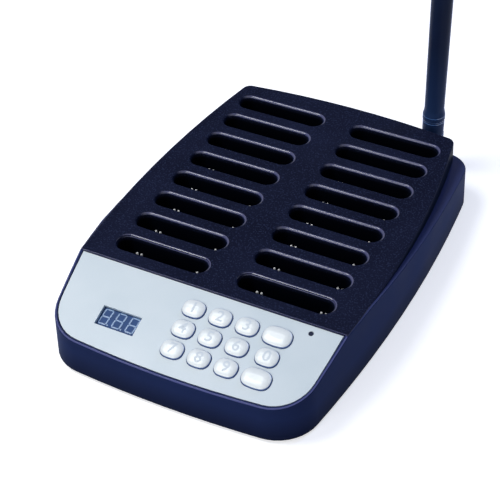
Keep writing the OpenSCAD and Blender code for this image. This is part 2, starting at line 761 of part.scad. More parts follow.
module charge_board() {
    color([0.1, 0.35, 0.2])
    at_home() difference() {
        translate([0, 0, charge_z]) linear_extrude(board_t) intersection() {
            polygon(outline(inset(block_line, lip_w + seat_w + 1)));
            translate([-case_w / 2, 5]) square([case_w, case_rear]);
        }
        at_posts() translate([0, 0, charge_z - 1]) cylinder(r = hole_r, h = board_t + 2);
    }
}

module charge_pins() {
    color([0.85, 0.8, 0.6])
    at_home() at_slots() for (s = [-1, 1], k = [-1, 1])
        translate([s * pin_pair_x + pin_shift + k * pin_gap / 2, pin_back - 0.35, charge_top]) {
            cylinder(d = pin_d, h = pocket_wall + pin_h - pin_d / 2);
            translate([0, 0, pocket_wall + pin_h - pin_d / 2]) sphere(d = pin_d);
        }
}

// ---- power inlet ------------------------------------------------------------------------

inlet_z = 12.2;
inlet_nose_r = 4.4;
inlet_body = [9.4, 13, 10.6];
power_lift = 1.8;
power_z = plate_top + power_lift;
// The inlet's front face stands just inside the rear wall, and its nose fills the hole
inlet_face = case_rear - case_wall - wall_lean - 2.6;
power_y = inlet_face - inlet_body[1] - 4;
power_posts = [for (s = [-1, 1]) [inlet_x + s * (power_board_w / 2 - 3), power_y + 4]];

module power_board() {
    color([0.1, 0.35, 0.2])
    at_home() translate([inlet_x - power_board_w / 2, power_y, power_z]) cube([power_board_w, inlet_face - power_y - 1, board_t]);
}

module dc_inlet() {
    color([0.05, 0.05, 0.06])
    at_home() translate([inlet_x, inlet_face, inlet_z]) difference() {
        union() {
            translate([-inlet_body[0] / 2, -inlet_body[1], power_z + board_t - inlet_z])
                cube([inlet_body[0], inlet_body[1], inlet_body[2]]);
            rotate([-90, 0, 0]) cylinder(r = inlet_nose_r, h = 3.9);
        }
        rotate([-90, 0, 0]) translate([0, 0, -6]) cylinder(d = inlet_d, h = 12);
    }
}

// ---- aerial -----------------------------------------------------------------------------

socket_r = 3.1;
ear_r = 5;
ear_in = 2.6;
ear_out = 5;
tongue_r = 4.6;
fold_pin_r = 1.2;
wall_out = sqrt(pow(case_rear_r, 2) - pow(aerial_x, 2)) - case_rear_r + case_rear - 0.35;
nut_y = wall_out + 0.35;
nut_t = 2;
barrel_y = nut_y + nut_t + air;
fork_y = aerial_y - ear_r - 0.1;

module along_y(y) { translate([aerial_x, y, fold_z]) rotate([-90, 0, 0]) children(); }

module aerial_socket() {
    inner = wall_out - case_wall - 1.1;
    color([0.72, 0.6, 0.3])
    at_home() {
        along_y(inner - 2) cylinder(r = 4.6, h = 2);
        along_y(inner - 4) cylinder(r = 2, h = 4);
        along_y(inner - eps) cylinder(r = socket_r, h = barrel_y + 2.5 - inner);
        along_y(nut_y) cylinder(r = 5, h = nut_t, $fn = 6);
    }
}

module aerial_knuckle() {
    back = fork_y - barrel_y;
    color([0.1, 0.13, 0.2])
    at_home() difference() {
        union() {
            along_y(barrel_y) cylinder(r = 5, h = back);
            translate([aerial_x - ear_out, fork_y - 1.2, fold_z - ear_r])
                cube([2 * ear_out, aerial_y - fork_y + 1.2, 2 * ear_r]);
            translate([aerial_x - ear_out, aerial_y, fold_z]) rotate([0, 90, 0]) cylinder(r = ear_r, h = 2 * ear_out);
        }
        translate([aerial_x - ear_in, fork_y, fold_z - 10]) cube([2 * ear_in, 20, 20]);
        along_y(barrel_y - 1) cylinder(r = socket_r + fit, h = 3.6);
        translate([aerial_x - 10, aerial_y, fold_z]) rotate([0, 90, 0]) cylinder(r = fold_pin_r + fit, h = 20);
    }
}

module aerial_pin() {
    color([0.7, 0.7, 0.72])
    at_home() translate([aerial_x - ear_out, aerial_y, fold_z]) rotate([0, 90, 0])
        cylinder(r = fold_pin_r, h = 2 * ear_out);
}

module aerial_whip() {
    foot = ear_r + air;
    r = collar_d / 2;
    w = whip_d / 2;
    tip = aerial_top - fold_z;
    // Half section of the collar and the whip, heights above the fold pin
    section = concat(
        [[0, foot], [r - 0.9, foot], [r, foot + 0.9], [r, foot + 2.9], [r - 0.25, foot + 3.3], [r - 0.15, foot + 11.4],
         [r - 0.35, foot + 11.7], [r - 0.35, foot + 12.3], [r, foot + 12.6], [r, foot + 15.4], [w, foot + 19.3],
         [w + 0.35, 0.49 * tip], [w + 0.25, 0.84 * tip]],
        [for (a = [0:15:90]) [(w - 0.4) * cos(a), tip - w + w * sin(a)]]);
    color([0.1, 0.13, 0.2])
    at_home() translate([aerial_x, aerial_y, fold_z]) difference() {
        union() {
            rotate_extrude() polygon(section);
            translate([-ear_in + air, 0, 0]) rotate([0, 90, 0]) cylinder(r = tongue_r, h = 2 * (ear_in - air));
            translate([-ear_in + air, -tongue_r, 0]) cube([2 * (ear_in - air), 2 * tongue_r, foot + eps]);
        }
        translate([-10, 0, 0]) rotate([0, 90, 0]) cylinder(r = fold_pin_r + fit, h = 20);
    }
}

top_case();
slot_block();
front_panel();
bottom_plate();
rubber_feet();
case_screws();
key_board();
keypad_mat();
display_module();
display_segments();
indicator_lens();
panel_screws();
key("key_1");  // key_1
key("key_2");  // key_2
key("key_3");  // key_3
key("key_4");  // key_4
key("key_5");  // key_5
key("key_6");  // key_6
key("key_7");  // key_7
key("key_8");  // key_8
key("key_9");  // key_9
key("key_0");  // key_0
key("key_call");  // key_call
key("key_clear");  // key_clear
main_board();
radio_module();
buzzer();
board_screws();
charge_board();
charge_pins();
power_board();
dc_inlet();
aerial_socket();
aerial_knuckle();
aerial_pin();
aerial_whip();
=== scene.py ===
"""Charging base of a guest pager system: looks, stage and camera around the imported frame."""
import math

import bmesh
import bpy
from bpy.props import FloatProperty, FloatVectorProperty, PointerProperty, StringProperty
from mathutils import Matrix, Vector
from mathutils.bvhtree import BVHTree


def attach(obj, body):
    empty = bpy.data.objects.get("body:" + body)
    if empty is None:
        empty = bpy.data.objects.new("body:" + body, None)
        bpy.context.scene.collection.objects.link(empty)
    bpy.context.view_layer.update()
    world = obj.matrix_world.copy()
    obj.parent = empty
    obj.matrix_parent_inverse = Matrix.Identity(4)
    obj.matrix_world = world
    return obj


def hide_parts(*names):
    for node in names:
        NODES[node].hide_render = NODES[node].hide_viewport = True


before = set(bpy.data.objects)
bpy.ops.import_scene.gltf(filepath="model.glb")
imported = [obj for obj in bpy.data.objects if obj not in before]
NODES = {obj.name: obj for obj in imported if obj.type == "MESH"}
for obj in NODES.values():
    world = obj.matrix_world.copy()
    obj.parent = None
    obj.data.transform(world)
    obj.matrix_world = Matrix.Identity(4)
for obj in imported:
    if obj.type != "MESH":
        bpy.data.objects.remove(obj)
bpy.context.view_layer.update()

bl_info = {
    "name": "Guest pager charging base",
    "version": (1, 0, 0),
    "blender": (4, 5, 0),
    "location": "View3D > Sidebar > Pager base",
    "description": "Dresses the charging base of a guest pager system around its packed frame",
    "category": "Object",
}

MM = 0.001
# Points and heights closer than this count as one
SAME = 0.01 * MM

# The panel's own frame: X to the right, Y up the slope, Z square to the panel's face
PANEL_LINE_Y = -71.25 * MM
PANEL_TOP_Z = 36.2 * MM
PANEL_SLOPE = math.radians(18)
PANEL = Matrix.Translation((0, PANEL_LINE_Y, PANEL_TOP_Z)) @ Matrix.Rotation(PANEL_SLOPE, 4, "X")

# Heights between which painted shade darkens the case's walls towards the bottom
WALL_SHADE_Z = (2 * MM, 15 * MM)
# Heights between which painted shade darkens the walls inside the slots
HOLLOW_SHADE_Z = (33.5 * MM, 36.5 * MM)
# Heights between which painted light makes the aerial paler and bluer towards its collar
COLLAR_LIGHT_Z = (40 * MM, 85 * MM)
# Heights between which the rings of the aerial's collar lie
RINGS_Z = (20 * MM, 60 * MM)
# Heights above which an edge of the case is on its rim, before and behind the panel line
RIM_Z = (12 * MM, 16 * MM)
# Heights above the panel between which a key's wall goes from painted shade to its crown's colour
KEY_WALL_SHADE_Z = (0.8 * MM, 1.1 * MM)

# Face attribute, from 0 to 1, that says how strong a face's painted highlight and glossy coat are
EDGE_MASK = "edge_mask"
# Strengths of the painted highlight and coat: the lip, the slots' mouths, painted light on the case's ledge,
# and the case's and the cover's other rounded edges
LIP_HIGHLIGHT = 0.3
MOUTH_HIGHLIGHT = 0.3
LEDGE_PAINTED_LIGHT = 0.1
CASE_EDGE_HIGHLIGHT = 0.08
COVER_EDGE_HIGHLIGHT = 0.06
# Least mask value at which the whole coat shows
POLISH_FROM = 0.1
# Way in which the faces of the slots' mouths with the strongest painted highlight look
HIGHLIGHT_WAY = Vector((-0.5, -0.87, 0))
# Upward part of the normal above which a face of the case is level
LEVEL = 0.9
# Part of the normal square to the panel, for the facet between the lip's top and its outer rounding
LIP_FACET = (0.85, 0.98)

NUMBER_KEYS = ["key_%d" % number for number in range(10)]
WIDE_KEYS = ["key_call", "key_clear"]


def srgb(code):
    """A hex colour as linear red, green, blue and a full alpha."""
    parts = [int(code[i:i + 2], 16) / 255 for i in (1, 3, 5)]
    return (*[p / 12.92 if p <= 0.04045 else ((p + 0.055) / 1.055) ** 2.4 for p in parts], 1.0)


# ---- materials --------------------------------------------------------------------------

def add(tree, kind, settings=None, **sockets):
    """Adds a node. A socket's keyword is its name with _ for a space, or i and its number."""
    node = tree.nodes.new(kind)
    for key, value in (settings or {}).items():
        setattr(node, key, value)
    for key, value in sockets.items():
        numbered = key[0] == "i" and key[1:].isdigit()
        socket = node.inputs[int(key[1:]) if numbered else key.replace("_", " ")]
        if isinstance(value, bpy.types.NodeSocket):
            tree.links.new(value, socket)
        else:
            socket.default_value = value
    return node


def new_material(name, **shader):
    """A material with one Principled shader, whose constant sockets are given here."""
    material = bpy.data.materials.new(name)
    material.use_nodes = True
    tree = material.node_tree
    tree.nodes.clear()
    principled = add(tree, "ShaderNodeBsdfPrincipled", **shader)
    add(tree, "ShaderNodeOutputMaterial", Surface=principled.outputs["BSDF"])
    return material, tree, principled


def grain(tree, principled, size_mm, height_mm, strength=1.0):
    """Fine texture left by a sparked mould: bumps of the given size and height."""
    coords = add(tree, "ShaderNodeTexCoord").outputs["Object"]
    noise = add(tree, "ShaderNodeTexNoise", Vector=coords, Scale=1 / (size_mm * MM), Detail=2.0,
                Roughness=0.55)
    bump = add(tree, "ShaderNodeBump", Height=noise.outputs["Fac"], Strength=strength,
               Distance=height_mm * MM)
    tree.links.new(bump.outputs["Normal"], principled.inputs["Normal"])
    return coords


def mottle(tree, coords, size_mm, low, high, detail=2.0):
    """Slight unevenness from place to place: its pattern, and the colour that it gives."""
    noise = add(tree, "ShaderNodeTexNoise", Vector=coords, Scale=1 / (size_mm * MM), Detail=detail)
    tones = add(tree, "ShaderNodeValToRGB", Fac=noise.outputs["Fac"])
    for element, place, code in zip(tones.color_ramp.elements, (0.3, 0.7), (low, high)):
        element.position = place
        element.color = srgb(code)
    return noise.outputs["Fac"], tones.outputs["Color"]


def tint(tree, principled, factor, code):
    """Mixes a colour over the base colour, as far as the factor says."""
    under = principled.inputs["Base Color"].links[0].from_socket
    mixed = add(tree, "ShaderNodeMix", {"data_type": "RGBA"}, i0=factor, i6=under, i7=srgb(code))
    tree.links.new(mixed.outputs[2], principled.inputs["Base Color"])


def moulded(name, low, high, roughness, grain_mm, depth_mm, patch_mm=40, spread=0.06, gloss=0.5, rim=None,
            polish=1.0, painted_glint=None, painted_light_and_shade=None, **shader):
    """A moulded plastic: mottled colour, sparked grain, and roughness that varies by spread.

    rim is the tone of the painted highlight on masked faces and polish their coat; the glint tone is that of
    painted glints, and the tone for painted light and shade comes in between the given heights, darker as
    painted shade, paler as painted light.
    """
    material, tree, principled = new_material(name, IOR=1.5, Specular_IOR_Level=gloss, **shader)
    coords = grain(tree, principled, grain_mm, depth_mm)
    patch, colour = mottle(tree, coords, patch_mm, low, high, detail=3.0)
    tree.links.new(colour, principled.inputs["Base Color"])
    if painted_glint:
        # Painted glints, the spark pits' bright points: 0.1 mm, drawn at 0.8 mm so that they show at all
        spark = add(tree, "ShaderNodeTexNoise", Vector=coords, Scale=1 / (0.8 * MM), Detail=0.0)
        bright = add(tree, "ShaderNodeMapRange", Value=spark.outputs["Fac"], From_Min=0.6, From_Max=0.7)
        tint(tree, principled, bright.outputs["Result"], painted_glint)
    if painted_light_and_shade:
        # Painted light and shade: another tone lower down, from nothing at the top height to all of it at
        # the bottom one, darker on the case and in the slots, paler and bluer on the aerial
        code, bottom, top = painted_light_and_shade
        height = add(tree, "ShaderNodeSeparateXYZ", Vector=coords).outputs["Z"]
        depth = add(tree, "ShaderNodeMapRange", Value=height, From_Min=top, From_Max=bottom)
        tint(tree, principled, depth.outputs["Result"], code)
    rough = add(tree, "ShaderNodeMapRange", Value=patch, From_Min=0.3, From_Max=0.7,
                To_Min=roughness - spread, To_Max=roughness + spread)
    tree.links.new(rough.outputs["Result"], principled.inputs["Roughness"])
    if rim:
        # Painted highlight: masked faces are tinted paler, and where the mask is above nothing the surface
        # gets a glossy coat
        highlit = add(tree, "ShaderNodeAttribute", {"attribute_name": EDGE_MASK}).outputs["Fac"]
        tint(tree, principled, highlit, rim)
        polished = add(tree, "ShaderNodeMapRange", Value=highlit, From_Max=POLISH_FROM, To_Max=polish)
        tree.links.new(polished.outputs["Result"], principled.inputs["Coat Weight"])
        principled.inputs["Coat Roughness"].default_value = 0.12
        principled.inputs["Coat IOR"].default_value = 1.7
    return material


def brushed(name, low, high, roughness, line_mm, metal=1.0):
    """A turned or rolled metal: fine lines and a slight change of tone across them."""
    material, tree, principled = new_material(name, Metallic=metal, Roughness=roughness)
    coords = add(tree, "ShaderNodeTexCoord").outputs["Object"]
    stretched = add(tree, "ShaderNodeMapping", Vector=coords, Scale=(1.0, 1.0, 0.15))
    lines, colour = mottle(tree, stretched.outputs["Vector"], line_mm, low, high)
    tree.links.new(colour, principled.inputs["Base Color"])
    bump = add(tree, "ShaderNodeBump", Height=lines, Strength=0.4, Distance=0.01 * MM)
    tree.links.new(bump.outputs["Normal"], principled.inputs["Normal"])
    return material


def silver_lacquer(looks):
    """Silver lacquer on the crown of a key, and painted shade, blue grey, on its wall."""
    material, tree, principled = new_material("abs_silver_lacquer", Metallic=0.12, Roughness=0.4, IOR=1.5,
                                              Specular_IOR_Level=0.35)
    coords = grain(tree, principled, size_mm=6.0, height_mm=0.01, strength=0.3)
    place, turn, _ = PANEL.inverted().decompose()
    level = add(tree, "ShaderNodeMapping", Vector=coords, Location=place, Rotation=turn.to_euler())
    height = add(tree, "ShaderNodeSeparateXYZ", Vector=level.outputs["Vector"]).outputs["Z"]
    out_of_shade = add(tree, "ShaderNodeMapRange", Value=height, From_Min=KEY_WALL_SHADE_Z[0], From_Max=KEY_WALL_SHADE_Z[1])
    _, crown = mottle(tree, coords, 9, looks.key_low, looks.key_high)
    mixed = add(tree, "ShaderNodeMix", {"data_type": "RGBA"}, i0=out_of_shade.outputs["Result"],
                i6=srgb(looks.key_wall), i7=crown)
    tree.links.new(mixed.outputs[2], principled.inputs["Base Color"])
    return material


def pearl_lacquer(looks):
    """Pearl lacquer: fine flakes, shown as painted white glints, in a pale blue ground, satin."""
    material, tree, principled = new_material("polycarbonate_pearl", Roughness=0.38, IOR=1.52)
    coords = add(tree, "ShaderNodeTexCoord").outputs["Object"]
    _, ground = mottle(tree, coords, 28, looks.panel_low, looks.panel_high)
    # Real flakes are 0.03 mm; drawn at 0.3 mm so that they show at all, their shine as painted glints
    flake = add(tree, "ShaderNodeTexVoronoi", Vector=coords, Scale=1 / (0.3 * MM)).outputs["Distance"]
    painted_flake_glint = add(tree, "ShaderNodeMapRange", Value=flake, From_Max=0.7, To_Min=0.06, To_Max=0.0)
    mixed = add(tree, "ShaderNodeMix", {"data_type": "RGBA"}, i0=painted_flake_glint.outputs["Result"], i6=ground,
                i7=srgb("#ffffff"))
    tree.links.new(mixed.outputs[2], principled.inputs["Base Color"])
    bump = add(tree, "ShaderNodeBump", Height=flake, Strength=0.12, Distance=0.01 * MM)
    tree.links.new(bump.outputs["Normal"], principled.inputs["Normal"])
    return material


def laminate():
    """Solder mask over copper tracks, which show as slightly raised, lighter lines."""
    material, tree, principled = new_material("laminate_solder_mask", Roughness=0.3, IOR=1.5)
    coords = add(tree, "ShaderNodeTexCoord").outputs["Object"]
    tracks = add(tree, "ShaderNodeTexBrick", {"offset": 0.35}, Vector=coords, Scale=1 / (18 * MM),
                 Color1=srgb("#0e4a30"), Color2=srgb("#115538"), Mortar=srgb("#1d7a50"), Mortar_Size=0.02)
    tree.links.new(tracks.outputs["Color"], principled.inputs["Base Color"])
    bump = add(tree, "ShaderNodeBump", Height=tracks.outputs["Fac"], Strength=0.5, Distance=0.03 * MM)
    tree.links.new(bump.outputs["Normal"], principled.inputs["Normal"])
    return material


def make_materials(looks):
    """Every finish of the object, each made once."""
    made = {}
    # ABS, injection moulded against a finely sparked tool: satin, dark navy, with painted shade low on its
    # walls, painted highlights on its rim and painted light on its ledge
    made["abs_case"] = moulded(
        "abs_sparked_navy", looks.case_low, looks.case_high, roughness=0.5, grain_mm=0.5, depth_mm=0.012,
        gloss=0.012, rim=looks.case_painted_light, polish=0.05, painted_light_and_shade=(looks.case_painted_shade, *WALL_SHADE_Z),
        Sheen_Weight=0.15, Sheen_Roughness=0.4, Sheen_Tint=srgb(looks.plastic_sheen))
    # ABS, moulded against a coarser sparked tool: near black with a fine sparkle of painted glints, painted
    # shade black in the slots, and painted highlights on the slots' mouths
    made["abs_cover"] = moulded(
        "abs_sparked_black", looks.cover_low, looks.cover_high, roughness=0.4, grain_mm=0.45, depth_mm=0.02,
        gloss=0.005, rim=looks.cover_painted_highlight, polish=0.6, painted_glint=looks.cover_painted_glint,
        painted_light_and_shade=(looks.cover_painted_shade, *HOLLOW_SHADE_Z),
        Sheen_Weight=0.1, Sheen_Roughness=0.4, Sheen_Tint=srgb(looks.plastic_sheen))
    # Polycarbonate, sprayed with pearl lacquer: pale silver blue, faintly clouded, with painted glints on
    # its flakes
    made["pearl_panel"] = pearl_lacquer(looks)
    # ABS, sprayed with silver lacquer: bright crown, and painted shade, blue grey, on its wall
    made["silver_key"] = silver_lacquer(looks)
    # Screen printing ink: thin, matt, grey
    made["ink_grey"] = moulded("ink_printed_grey", looks.ink_low, looks.ink_high, roughness=0.5,
                               grain_mm=0.3, depth_mm=0.003)
    # Silicone rubber, pressed: matt, milky
    made["silicone"] = moulded("silicone_pressed", "#9fa3a8", "#aeb2b6", roughness=0.6, grain_mm=0.4,
                               depth_mm=0.01)
    # Nitrile rubber, pressed: matt black, dusty grain
    made["foot_rubber"] = moulded("rubber_pressed_black", "#141416", "#1e1e20", roughness=0.75,
                                  grain_mm=0.35, depth_mm=0.03)
    # Thermoplastic rubber, moulded over a spring: satin, dark navy, bluer at its edges, with painted light,
    # paler and bluer, towards its collar and painted highlights on its rings
    made["whip_rubber"] = moulded(
        "rubber_moulded_navy", looks.whip_low, looks.whip_high, roughness=0.4, grain_mm=0.4, depth_mm=0.01,
        gloss=0.06, rim=looks.whip_painted_highlight, painted_light_and_shade=(looks.whip_painted_light, *COLLAR_LIGHT_Z),
        Sheen_Weight=1.0, Sheen_Roughness=0.25, Sheen_Tint=srgb(looks.whip_sheen))
    # Polyamide, moulded: satin, dark navy
    made["knuckle_nylon"] = moulded("nylon_moulded_navy", looks.whip_low, looks.whip_high, roughness=0.4,
                                    grain_mm=0.4, depth_mm=0.01, gloss=0.25)
    # Mild steel, zinc plated and turned: bright grey, finely ringed
    made["zinc_steel"] = brushed("steel_zinc_plated", "#8d9096", "#b5b8be", roughness=0.32, line_mm=0.12)
    # Phosphor bronze under a thick coat of matt tin: the charging pins, nearly white and not mirror-like
    made["bright_pin"] = brushed("bronze_tinned_matt", "#f6f6f4", "#fcfcfa", roughness=0.35, line_mm=0.2,
                                 metal=0.0)
    # Brass, nickel plated and turned: warm grey
    made["nickel_brass"] = brushed("brass_nickel_plated", "#8f8b80", "#b5b0a4", roughness=0.28, line_mm=0.12)
    # Glass epoxy laminate under green solder mask: glossy, with paler lines over its tracks
    made["solder_mask"] = laminate()
    # Tinned steel, stamped: pale grey, with faint lines from rolling
    made["tinned_steel"] = brushed("steel_tinned", "#9a9c9f", "#c4c6c9", roughness=0.35, line_mm=0.6)
    # Polyamide, moulded: the satin black bodies of the buzzer and the inlet
    made["black_nylon"] = moulded("nylon_moulded_black", "#101012", "#18181b", roughness=0.45, grain_mm=0.3,
                                  depth_mm=0.015)
    # Epoxy cast in a painted case: the slate blue face of the display
    made["display_face"] = moulded("epoxy_face_slate", looks.face_low, looks.face_high, roughness=0.45,
                                   grain_mm=1.2, depth_mm=0.01, patch_mm=6, gloss=0.1)
    # Epoxy, milky: the display's bars, pale blue and faintly lit
    made["display_bar"] = moulded("epoxy_bar_blue", looks.bar_low, looks.bar_high, roughness=0.3,
                                  grain_mm=0.6, depth_mm=0.01, patch_mm=2,
                                  Emission_Color=srgb(looks.bar_glow), Emission_Strength=0.05)
    # Acrylic, moulded and smoke tinted: the indicator's lens, smooth and nearly black
    made["smoked_lens"] = moulded("acrylic_smoked", "#141d33", "#1b2540", roughness=0.4, grain_mm=2.0,
                                  depth_mm=0.005, patch_mm=2, spread=0.02, gloss=0.1)
    return made


# ---- helpers for pieces -----------------------------------------------------------------

MATERIALS = {}


def merged_copy(node):
    """The node's mesh with its loose triangles joined and its flat faces made whole."""
    bm = bmesh.new()
    bm.from_mesh(NODES[node].data)
    bmesh.ops.remove_doubles(bm, verts=bm.verts, dist=0.002 * MM)
    bmesh.ops.dissolve_limit(bm, angle_limit=math.radians(0.6), verts=bm.verts, edges=bm.edges)
    return bm


def heights(edge):
    """The lower and the higher end of an edge."""
    return sorted(vert.co.z for vert in edge.verts)


def round_edges(bm, width, wanted=None, angle=35, segments=2):
    """Rounds the sharp outer edges, or the wanted ones of them, so that they catch the light, and marks the
    rounded faces in full for a painted highlight.
    """
    mask = bm.faces.layers.float.new(EDGE_MASK)
    edges = [edge for edge in bm.edges if edge.is_manifold and edge.is_convex
             and edge.calc_face_angle(0) > math.radians(angle) and (not wanted or wanted(edge))]
    rounded = bmesh.ops.bevel(bm, geom=edges, offset=width, offset_type="OFFSET", segments=segments,
                              profile=0.5, affect="EDGES", clamp_overlap=False, material=-1)["faces"]
    for face in rounded:
        face[mask] = 1.0
    return mask


def soften(bm, angle):
    """Smooth shading that breaks at edges sharper than the angle."""
    for face in bm.faces:
        face.smooth = True
    for edge in bm.edges:
        edge.smooth = len(edge.link_faces) == 2 and edge.calc_face_angle(0) < math.radians(angle)


def finish_piece(bm, name, material, body, node=None, angle=32):
    """Makes the object, gives it its finish and hangs it on its body."""
    soften(bm, angle)
    mesh = bpy.data.meshes.new(name)
    bm.to_mesh(mesh)
    bm.free()
    piece = bpy.data.objects.new(name, mesh)
    bpy.context.scene.collection.objects.link(piece)
    mesh.materials.append(MATERIALS[material])
    # Flat faces keep their own shading beside rounded edges
    piece.modifiers.new("even_shading", "WEIGHTED_NORMAL").keep_sharp = True
    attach(piece, body)
    if node:
        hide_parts(node)


def dress(node, material):
    """Gives a CAD node that stays its finish."""
    data = NODES[node].data
    data.materials.clear()
    data.materials.append(MATERIALS[material])


# ---- properties -------------------------------------------------------------------------

class PagerLooks(bpy.types.PropertyGroup):
    """Colours of the object."""
    case_low: StringProperty(
        name="Case, low tone", description="Darker tone of the case", default="#1c2648")
    case_high: StringProperty(
        name="Case, high tone", description="Lighter tone of the case", default="#202c52")
    # Painted highlight on the case's rounded rim, and painted light on its ledge
    case_painted_light: StringProperty(
        name="Case rim", description="Tone of the case's rubbed edges", default="#8489cc")
    # Painted shade on the case's walls low down
    case_painted_shade: StringProperty(
        name="Case foot", description="Tone of the case's walls low down", default="#141a32")
    cover_low: StringProperty(
        name="Cover, low tone", description="Darker tone of the slot cover", default="#141728")
    cover_high: StringProperty(
        name="Cover, high tone", description="Lighter tone of the slot cover", default="#1b1f33")
    # Painted highlight on the cover's rounded edges and the slots' mouths
    cover_painted_highlight: StringProperty(
        name="Cover rim", description="Tone of the cover's rubbed edges", default="#6a70b0")
    # Painted glints of the cover's sparked grain
    cover_painted_glint: StringProperty(
        name="Cover fleck", description="Tone of the cover's bright points", default="#272d45")
    # Painted shade on the walls inside the slots
    cover_painted_shade: StringProperty(
        name="Cover hollow", description="Tone of the walls inside the slots", default="#04050b")
    plastic_sheen: StringProperty(
        name="Plastic sheen", description="Sheen of the case and the cover", default="#3f68b0")
    whip_low: StringProperty(
        name="Aerial, low tone", description="Darker tone of the aerial", default="#111a30")
    whip_high: StringProperty(
        name="Aerial, high tone", description="Lighter tone of the aerial", default="#16213c")
    # Painted highlight on the rounded rings of the aerial's collar
    whip_painted_highlight: StringProperty(
        name="Aerial rim", description="Tone of the rubbed rings on the aerial's collar", default="#4a6ea8")
    # Painted light, paler and bluer, on the aerial towards its collar
    whip_painted_light: StringProperty(
        name="Aerial foot", description="Tone of the aerial towards its collar", default="#22355a")
    whip_sheen: StringProperty(
        name="Aerial sheen", description="Sheen of the aerial", default="#6f96e6")
    panel_low: StringProperty(
        name="Panel, low tone", description="Darker tone of the panel", default="#bfcdd4")
    panel_high: StringProperty(
        name="Panel, high tone", description="Lighter tone of the panel", default="#c8d4da")
    key_low: StringProperty(
        name="Key, low tone", description="Darker tone of the keys", default="#dae1e3")
    key_high: StringProperty(
        name="Key, high tone", description="Lighter tone of the keys", default="#e3e8e9")
    # Painted shade on the keys' walls
    key_wall: StringProperty(
        name="Key wall", description="Tone of the keys' walls", default="#5670a8")
    ink_low: StringProperty(
        name="Ink, low tone", description="Darker tone of the print", default="#cbd5dc")
    ink_high: StringProperty(
        name="Ink, high tone", description="Lighter tone of the print", default="#d3dce2")
    face_low: StringProperty(
        name="Display, low tone", description="Darker tone of the display", default="#2d4874")
    face_high: StringProperty(
        name="Display, high tone", description="Lighter tone of the display", default="#365282")
    bar_low: StringProperty(
        name="Bar, low tone", description="Darker tone of the display's bars", default="#587aa4")
    bar_high: StringProperty(
        name="Bar, high tone", description="Lighter tone of the display's bars", default="#688bb6")
    bar_glow: StringProperty(
        name="Bar, glow", description="Light of the display's bars", default="#8fb4d6")


class PagerSizes(bpy.types.PropertyGroup):
    """Sizes of the pieces made here."""
    lip_edge: FloatProperty(
        name="Lip edge", description="Rounding of the case's rim", default=0.4 * MM,
        unit="LENGTH", precision=5)
    mouth: FloatProperty(
        name="Mouth", description="Depth of the slots' rounded mouths", default=1.1 * MM,
        unit="LENGTH", precision=5)
    cover_edge: FloatProperty(
        name="Cover edge", description="Rounding of the slot cover's edges", default=0.3 * MM,
        unit="LENGTH", precision=5)
    panel_edge: FloatProperty(
        name="Panel edge", description="Rounding of the panel's edges", default=0.08 * MM,
        unit="LENGTH", precision=5)
    foot_edge: FloatProperty(
        name="Foot edge", description="Rounding of the rubber feet", default=0.5 * MM,
        unit="LENGTH", precision=5)
    ring_edge: FloatProperty(
        name="Ring edge", description="Rounding of the rings on the aerial's collar", default=0.2 * MM,
        unit="LENGTH", precision=5)
    numeral: FloatProperty(
        name="Numeral", description="Height of the numbers on the keys", default=6.0 * MM,
        unit="LENGTH", precision=5)
    ink: FloatProperty(
        name="Ink", description="Thickness of the print", default=0.03 * MM,
        unit="LENGTH", precision=6)


class StageSettings(bpy.types.PropertyGroup):
    """Camera and light."""
    lens: FloatProperty(
        name="Lens", description="Focal length for a 36 mm sensor, in mm", default=103.94)
    azimuth: FloatProperty(
        name="Azimuth", description="Camera's direction round the object",
        default=math.radians(28.011), subtype="ANGLE")
    elevation: FloatProperty(
        name="Elevation", description="Camera's height above the horizon",
        default=math.radians(40.614), subtype="ANGLE")
    roll: FloatProperty(
        name="Roll", description="Camera's turn about its own line of sight",
        default=math.radians(-1.738), subtype="ANGLE")
    camera_at: FloatVectorProperty(
        name="Camera", description="Camera's place", size=3, subtype="TRANSLATION",
        default=(0.2629, -0.52155, 0.5091))
    floor: FloatProperty(
        name="Floor", description="Reach of the floor from its middle to each side", default=12.0,
        unit="LENGTH")
    ambient: FloatProperty(
        name="Ambient", description="Strength of the light from all round", default=0.22)
    ambient_tone: StringProperty(
        name="Ambient tone", description="Colour of the light from all round", default="#dde6ff")
    overhead_power: FloatProperty(
        name="Overhead", description="Power of the softbox overhead, in watts", default=14)
    front_power: FloatProperty(
        name="Front", description="Power of the softbox at the front, in watts", default=11)
    rear_power: FloatProperty(
        name="Rear", description="Power of the softbox at the rear right, in watts", default=4)


# ---- operators --------------------------------------------------------------------------

class PAGER_OT_finishes(bpy.types.Operator):
    """Makes the finishes"""
    bl_idname = "pager.finishes"
    bl_label = "Make finishes"

    def execute(self, context):
        MATERIALS.update(make_materials(context.scene.pager_looks))
        return {"FINISHED"}


